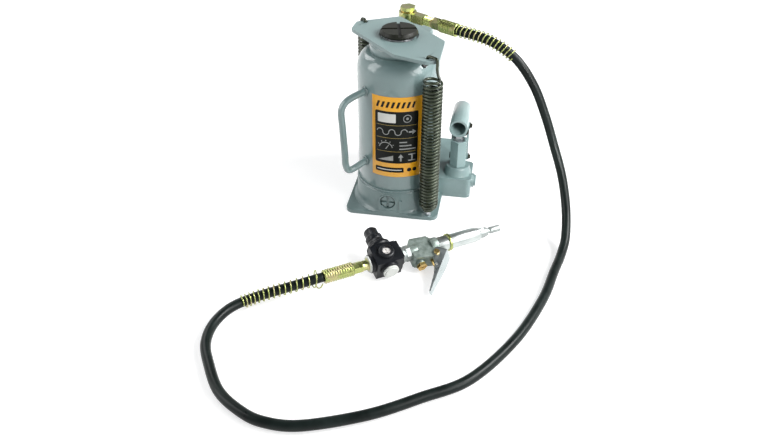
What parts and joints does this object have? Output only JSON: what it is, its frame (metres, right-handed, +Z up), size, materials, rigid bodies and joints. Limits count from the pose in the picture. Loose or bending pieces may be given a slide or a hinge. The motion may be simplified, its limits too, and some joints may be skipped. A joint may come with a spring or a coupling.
{
  "type": "bottle jack",
  "caption": "Air and hand operated bottle jack with return springs, lifting plate, screw saddle, carry handle, air hose, regulator and lever valve.",
  "frame": {"origin": "ram's axis on the underside of the base plate", "axes": "+Z up along the ram, +X to the hand pump, -Y to the release valve at the front"},
  "size_m": [0.4097, 0.586, 0.2496],
  "materials": {
    "paint_grey": "satin",
    "bare_steel": "machined",
    "black_steel": "satin black",
    "gold_zinc": "yellow zinc plate",
    "brass": "satin",
    "zinc": "dull zinc",
    "chrome": "polished",
    "aluminium": "satin",
    "black_plastic": "semi gloss",
    "white_plastic": "gloss",
    "label_film": "gloss",
    "hose_rubber": "satin",
    "seal_rubber": "matte"
  },
  "bodies": {
    "jack": {"base_casting": "paint_grey", "tank": "paint_grey", "top_nut": "paint_grey", "rod_wiper": "seal_rubber", "inner_cylinder": "bare_steel", "spring_front": "black_steel", "spring_rear": "black_steel", "spring_post_front": "bare_steel", "spring_post_rear": "bare_steel", "carry_handle": "paint_grey", "filler_plug": "seal_rubber", "label": "label_film", "pump_body": "paint_grey", "link_right": "paint_grey", "link_left": "paint_grey", "pin_link_top": "black_steel", "pin_link_bottom": "black_steel", "side_plug": "bare_steel", "motor_foot": "paint_grey", "motor_tube": "paint_grey", "motor_head": "paint_grey", "air_return_spring": "bare_steel", "muffler": "brass", "banjo_bolt": "gold_zinc", "banjo_washer_top": "brass", "banjo_washer_low": "brass", "banjo": "gold_zinc", "ferrule_jack": "gold_zinc", "hose": "hose_rubber", "guard_jack": "gold_zinc", "guard_valve": "gold_zinc", "ferrule_valve": "gold_zinc", "hex_sleeve": "gold_zinc", "regulator_body": "black_plastic", "regulator_bonnet": "black_plastic", "gauge_plug": "chrome", "regulator_cap": "white_plastic", "line_fitting": "chrome", "valve_body": "zinc", "valve_cap": "brass", "lever_pin": "brass", "lock_ring": "gold_zinc", "supply_tube": "aluminium", "nipple": "aluminium"},
    "ram": {"ram": "bare_steel", "piston_seal": "seal_rubber", "lift_plate": "paint_grey"},
    "screw": {"extension_screw": "bare_steel"},
    "saddle": {"saddle": "black_steel"},
    "release": {"release_valve": "bare_steel", "valve_seal": "seal_rubber"},
    "socket": {"handle_socket": "paint_grey", "pin_plunger": "black_steel"},
    "plunger": {"pump_plunger": "bare_steel"},
    "air_piston": {"air_piston": "aluminium", "air_piston_seal": "seal_rubber"},
    "knob": {"regulator_knob": "black_plastic"},
    "lever": {"lever": "zinc"},
    "stem": {"valve_stem": "brass"}
  },
  "joints": [
    {"name": "ram_slide", "type": "slide", "parent": "jack", "child": "ram", "axis": [0, 0, 1], "range_m": [0, 0.14], "stiffness_N_per_m": 1500, "springref_m": -0.02, "deforming": ["spring_front", "spring_rear"]},
    {"name": "screw_rise", "type": "slide", "parent": "ram", "child": "screw", "axis": [0, 0, 1], "range_m": [0, 0.06]},
    {"name": "saddle_turn", "type": "hinge", "parent": "screw", "child": "saddle", "pos_m": [0, 0, 0.2431], "axis": [0, 0, 1], "range_deg": [0, 4326]},
    {"name": "release_turn", "type": "hinge", "parent": "jack", "child": "release", "pos_m": [-0.0045, -0.05, 0.023], "axis": [0, -1, 0], "range_deg": [0, 540]},
    {"name": "socket_swing", "type": "hinge", "parent": "jack", "child": "socket", "pos_m": [0.082, 0.05, 0.094], "axis": [-1, 0, 0], "range_deg": [-8, 25]},
    {"name": "plunger_stroke", "type": "slide", "parent": "jack", "child": "plunger", "axis": [0, 0, 1], "range_m": [-0.004, 0.01]},
    {"name": "air_piston_stroke", "type": "slide", "parent": "jack", "child": "air_piston", "axis": [0, 0, -1], "range_m": [0, 0.02], "stiffness_N_per_m": 2000, "springref_m": -0.01, "deforming": ["air_return_spring"]},
    {"name": "knob_turn", "type": "hinge", "parent": "jack", "child": "knob", "pos_m": [0.013, -0.176, 0.0178], "axis": [-0.5471, 0.796, 0.2588], "range_deg": [0, 720]},
    {"name": "lever_squeeze", "type": "hinge", "parent": "jack", "child": "lever", "pos_m": [0.07426, -0.15391, 0.01752], "axis": [-0.1466, 0.2133, -0.9659], "range_deg": [0, 8], "stiffness_Nm_per_rad": 2, "springref_deg": -5.73},
    {"name": "stem_push", "type": "slide", "parent": "jack", "child": "stem", "axis": [-0.5471, 0.796, 0.2588], "range_m": [0, 0.0041]}
  ],
  "couplings": [
    {"joint": "saddle_turn", "follows": "screw_rise", "rad_per_m": 1256.6},
    {"joint": "plunger_stroke", "follows": "socket_swing", "m_per_rad": 0.0195},
    {"joint": "stem_push", "follows": "lever_squeeze", "m_per_rad": 0.029}
  ]
}
